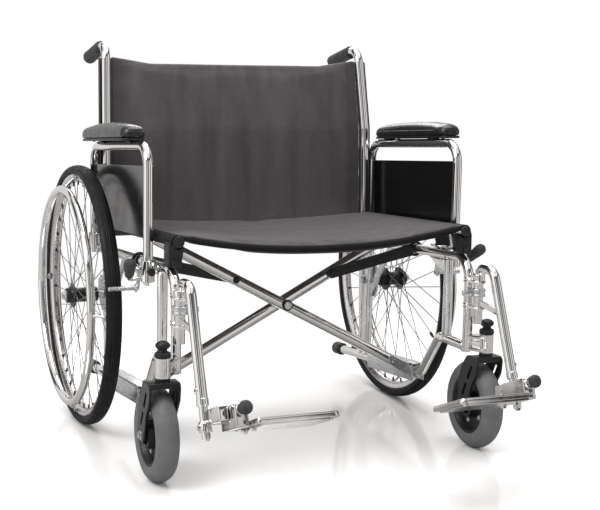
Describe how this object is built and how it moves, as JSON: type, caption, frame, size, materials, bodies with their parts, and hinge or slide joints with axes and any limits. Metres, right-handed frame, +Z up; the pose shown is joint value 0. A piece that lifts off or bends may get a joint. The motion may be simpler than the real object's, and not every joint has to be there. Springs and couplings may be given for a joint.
{
  "type": "folding manual wheelchair",
  "caption": "Extra-wide folding manual wheelchair with chrome cross-brace frame, sling seat and back, lift-off arms, swing-away footrests and swivelling front casters.",
  "frame": {"origin": "on the floor, at the middle of the footprint's bounding box", "axes": "+X towards the sitter's left, the chair faces -Y so +Y is rearward and lengthwise, +Z up"},
  "size_m": [0.917, 1.1728, 0.8979],
  "materials": {
    "chrome_frame": "bright chrome plate",
    "satin_steel": "satin",
    "cast_aluminium": "polished casting",
    "black_paint": "semi-gloss black",
    "black_plastic": "moulded black",
    "side_panel": "glossy black",
    "black_rubber": "matte black",
    "wheel_tyre": "black, fine tread",
    "grey_rubber": "solid grey",
    "sling_fabric": "charcoal woven, lightly padded",
    "pad_vinyl": "glossy black vinyl"
  },
  "bodies": {
    "side_right": {"side_frame_right": "chrome_frame", "push_grip_right": "black_rubber", "rail_tip_right": "black_rubber", "seat_saddle_right": "black_plastic", "wheel_axle_right": "satin_steel", "caster_cap_right": "black_plastic", "brake_bracket_right": "chrome_frame", "back_sling": "sling_fabric"},
    "brace_a": {"brace_to_left": "chrome_frame", "brace_bolt": "satin_steel", "seat_sling": "sling_fabric"},
    "brace_b": {"brace_to_right": "chrome_frame"},
    "side_left": {"side_frame_left": "chrome_frame", "push_grip_left": "black_rubber", "rail_tip_left": "black_rubber", "seat_saddle_left": "black_plastic", "wheel_axle_left": "satin_steel", "caster_cap_left": "black_plastic", "brake_bracket_left": "chrome_frame"},
    "wheel_left": {"wheel_tyre_left": "wheel_tyre", "wheel_rim_left": "satin_steel", "wheel_hub_left": "black_paint", "handrim_left": "chrome_frame"},
    "caster_left": {"caster_fork_left": "black_paint"},
    "caster_wheel_left": {"caster_tyre_left": "grey_rubber", "caster_hub_left": "black_plastic"},
    "hanger_left": {"hanger_left": "chrome_frame"},
    "latch_left": {"hanger_latch_left": "black_plastic"},
    "foot_left": {"foot_tube_left": "chrome_frame", "foot_bumper_left": "black_rubber"},
    "plate_left": {"footplate_left": "cast_aluminium"},
    "arm_left": {"arm_frame_left": "chrome_frame", "arm_panel_left": "side_panel", "arm_pad_left": "pad_vinyl"},
    "arm_lock_left": {"arm_lock_left": "black_plastic"},
    "brake_left": {"brake_lever_left": "chrome_frame", "brake_grip_left": "black_rubber"},
    "shoe_left": {"brake_shoe_left": "satin_steel"},
    "link_left": {"fold_link_left": "black_paint"},
    "wheel_right": {"wheel_tyre_right": "wheel_tyre", "wheel_rim_right": "satin_steel", "wheel_hub_right": "black_paint", "handrim_right": "chrome_frame"},
    "caster_right": {"caster_fork_right": "black_paint"},
    "caster_wheel_right": {"caster_tyre_right": "grey_rubber", "caster_hub_right": "black_plastic"},
    "hanger_right": {"hanger_right": "chrome_frame"},
    "latch_right": {"hanger_latch_right": "black_plastic"},
    "foot_right": {"foot_tube_right": "chrome_frame", "foot_bumper_right": "black_rubber"},
    "plate_right": {"footplate_right": "cast_aluminium"},
    "arm_right": {"arm_frame_right": "chrome_frame", "arm_panel_right": "side_panel", "arm_pad_right": "pad_vinyl"},
    "arm_lock_right": {"arm_lock_right": "black_plastic"},
    "brake_right": {"brake_lever_right": "chrome_frame", "brake_grip_right": "black_rubber"},
    "shoe_right": {"brake_shoe_right": "satin_steel"},
    "link_right": {"fold_link_right": "black_paint"}
  },
  "joints": [
    {"name": "fold", "type": "hinge", "parent": "side_right", "child": "brace_a", "pos_m": [-0.34, 0.0295, 0.12504], "axis": [0, -0.9964, 0.0844], "range_deg": [0, 48], "deforming": ["seat_sling", "back_sling"]},
    {"name": "brace_crossing", "type": "hinge", "parent": "brace_a", "child": "brace_b", "pos_m": [0, 0.0295, 0.30586], "axis": [0, -0.9964, 0.0844], "range_deg": [-96, 0]},
    {"name": "fold_left_foot", "type": "hinge", "parent": "brace_b", "child": "side_left", "pos_m": [0.34, 0.0295, 0.12504], "axis": [0, -0.9964, 0.0844], "range_deg": [0, 48]},
    {"name": "wheel_spin_left", "type": "hinge", "parent": "side_left", "child": "wheel_left", "pos_m": [0.41, 0.2815, 0.305], "axis": [1, 0, 0], "continuous": true},
    {"name": "caster_swivel_left", "type": "hinge", "parent": "side_left", "child": "caster_left", "pos_m": [0.3755, -0.2555, 0.24], "axis": [0, 0, 1], "continuous": true},
    {"name": "caster_spin_left", "type": "hinge", "parent": "caster_left", "child": "caster_wheel_left", "pos_m": [0.3755, -0.2155, 0.1], "axis": [1, 0, 0], "continuous": true},
    {"name": "hanger_swing_left", "type": "hinge", "parent": "side_left", "child": "hanger_left", "pos_m": [0.343, -0.2665, 0.36], "axis": [0, 0, 1], "range_deg": [0, 90]},
    {"name": "hanger_latch_left", "type": "hinge", "parent": "hanger_left", "child": "latch_left", "pos_m": [0.343, -0.2665, 0.367], "axis": [0, 0, 1], "range_deg": [0, 25]},
    {"name": "foot_height_left", "type": "slide", "parent": "hanger_left", "child": "foot_left", "axis": [0.0085, -0.3846, -0.923], "range_m": [0, 0.06]},
    {"name": "footplate_flip_left", "type": "hinge", "parent": "foot_left", "child": "plate_left", "pos_m": [0.31, -0.4245, 0.185], "axis": [0, 0.928, -0.3727], "range_deg": [0, 90]},
    {"name": "arm_lift_left", "type": "slide", "parent": "side_left", "child": "arm_left", "axis": [0, 0, 1], "range_m": [0, 0.12]},
    {"name": "arm_lock_left", "type": "slide", "parent": "side_left", "child": "arm_lock_left", "axis": [0, -1, 0], "range_m": [0, 0.006]},
    {"name": "brake_left", "type": "hinge", "parent": "side_left", "child": "brake_left", "pos_m": [0.361, -0.0805, 0.404], "axis": [1, 0, 0], "range_deg": [0, 35]},
    {"name": "brake_shoe_left", "type": "hinge", "parent": "side_left", "child": "shoe_left", "pos_m": [0.361, -0.0485, 0.415], "axis": [1, 0, 0], "range_deg": [0, 17]},
    {"name": "fold_link_left", "type": "hinge", "parent": "side_left", "child": "link_left", "pos_m": [0.34, 0.0275, 0.42244], "axis": [0, -0.9964, 0.0844], "range_deg": [-88.15, 0]},
    {"name": "wheel_spin_right", "type": "hinge", "parent": "side_right", "child": "wheel_right", "pos_m": [-0.41, 0.2815, 0.305], "axis": [1, 0, 0], "continuous": true},
    {"name": "caster_swivel_right", "type": "hinge", "parent": "side_right", "child": "caster_right", "pos_m": [-0.3755, -0.2555, 0.24], "axis": [0, 0, 1], "continuous": true},
    {"name": "caster_spin_right", "type": "hinge", "parent": "caster_right", "child": "caster_wheel_right", "pos_m": [-0.3755, -0.2155, 0.1], "axis": [1, 0, 0], "continuous": true},
    {"name": "hanger_swing_right", "type": "hinge", "parent": "side_right", "child": "hanger_right", "pos_m": [-0.343, -0.2665, 0.36], "axis": [0, 0, -1], "range_deg": [0, 90]},
    {"name": "hanger_latch_right", "type": "hinge", "parent": "hanger_right", "child": "latch_right", "pos_m": [-0.343, -0.2665, 0.367], "axis": [0, 0, -1], "range_deg": [0, 25]},
    {"name": "foot_height_right", "type": "slide", "parent": "hanger_right", "child": "foot_right", "axis": [-0.0085, -0.3846, -0.923], "range_m": [0, 0.06]},
    {"name": "footplate_flip_right", "type": "hinge", "parent": "foot_right", "child": "plate_right", "pos_m": [-0.31, -0.4245, 0.185], "axis": [0, -0.928, 0.3727], "range_deg": [0, 90]},
    {"name": "arm_lift_right", "type": "slide", "parent": "side_right", "child": "arm_right", "axis": [0, 0, 1], "range_m": [0, 0.12]},
    {"name": "arm_lock_right", "type": "slide", "parent": "side_right", "child": "arm_lock_right", "axis": [0, -1, 0], "range_m": [0, 0.006]},
    {"name": "brake_right", "type": "hinge", "parent": "side_right", "child": "brake_right", "pos_m": [-0.361, -0.0805, 0.404], "axis": [1, 0, 0], "range_deg": [0, 35]},
    {"name": "brake_shoe_right", "type": "hinge", "parent": "side_right", "child": "shoe_right", "pos_m": [-0.361, -0.0485, 0.415], "axis": [1, 0, 0], "range_deg": [0, 17]},
    {"name": "fold_link_right", "type": "hinge", "parent": "side_right", "child": "link_right", "pos_m": [-0.34, 0.0315, 0.4222], "axis": [0, -0.9964, 0.0844], "range_deg": [0, 88.15]}
  ],
  "couplings": [
    {"joint": "brace_crossing", "follows": "fold", "ratio": -2},
    {"joint": "fold_left_foot", "follows": "fold", "ratio": 1},
    {"joint": "footplate_flip_left", "follows": "fold", "ratio": 1.875},
    {"joint": "fold_link_left", "follows": "fold", "ratio": -1.8261},
    {"joint": "brake_shoe_left", "follows": "brake_left", "ratio": 0.48571},
    {"joint": "footplate_flip_right", "follows": "fold", "ratio": 1.875},
    {"joint": "fold_link_right", "follows": "fold", "ratio": 1.8261},
    {"joint": "brake_shoe_right", "follows": "brake_right", "ratio": 0.48571}
  ]
}
